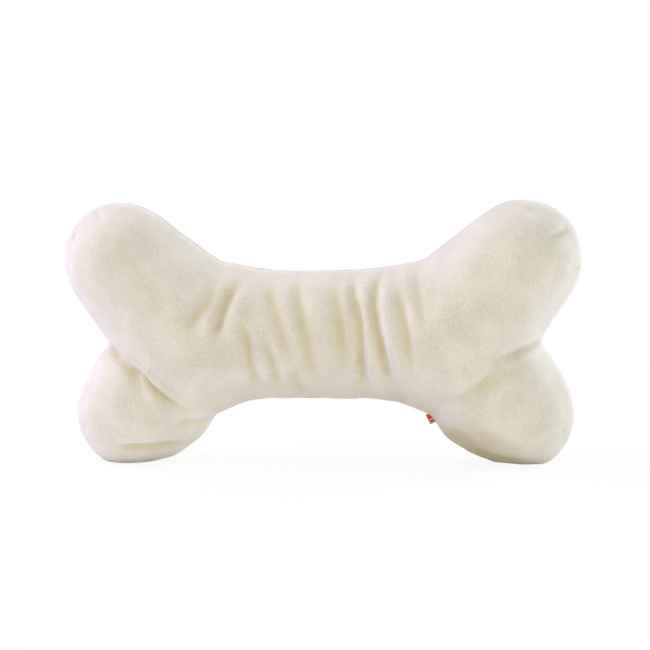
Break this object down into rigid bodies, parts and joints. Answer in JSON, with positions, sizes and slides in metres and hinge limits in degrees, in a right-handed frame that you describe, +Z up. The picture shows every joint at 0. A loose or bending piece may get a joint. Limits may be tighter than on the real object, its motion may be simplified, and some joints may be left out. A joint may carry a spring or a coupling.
{
  "type": "squeaky dog toy",
  "caption": "Stuffed plush bone with flared, knobbed ends: a sewn velour cover round fibre filling and a squeaker that sounds when the waist is bitten.",
  "frame": {"origin": "on the floor under the middle of the waist", "axes": "+X along the bone, -Y out of its front panel, +Z up from the lower knobs to the upper ones"},
  "size_m": [0.3196, 0.0824, 0.1622],
  "materials": {
    "velour": "cream short-pile velour",
    "fibre": "white polyester fibre filling",
    "thread": "cream sewing thread",
    "ribbon": "red woven ribbon with a pale stripe",
    "bulb_plastic": "milky soft plastic",
    "plug_plastic": "white hard plastic",
    "reed_film": "amber plastic film"
  },
  "bodies": {
    "toy": {"front_panel": "velour", "back_panel": "velour", "seam_thread": "thread", "closing_thread": "thread", "label_ends": "ribbon", "shank_fill": "fibre", "upper_left_fill": "fibre", "upper_right_fill": "fibre", "lower_left_fill": "fibre", "lower_right_fill": "fibre", "squeaker_bulb": "bulb_plastic", "reed_plug": "plug_plastic", "reed_wedge": "plug_plastic"},
    "squeeze_wad": {"squeeze_wad": "fibre"},
    "reed": {"reed": "reed_film"},
    "label_tab": {"label_tab": "ribbon"}
  },
  "joints": [
    {"name": "squeeze", "type": "slide", "parent": "toy", "child": "squeeze_wad", "axis": [0, 1, 0], "range_m": [0, 0.01], "stiffness_N_per_m": 600, "deforming": ["squeaker_bulb", "front_panel"]},
    {"name": "reed_flutter", "type": "hinge", "parent": "toy", "child": "reed", "pos_m": [0, 0.006, 0.0809], "axis": [1, 0, 0], "range_deg": [-4, 4], "stiffness_Nm_per_rad": 0.002},
    {"name": "label_flap", "type": "hinge", "parent": "toy", "child": "label_tab", "pos_m": [0.06835, 0, 0.02798], "axis": [0.4292, 0, -0.9032], "range_deg": [-50, 50], "stiffness_Nm_per_rad": 0.0005}
  ]
}
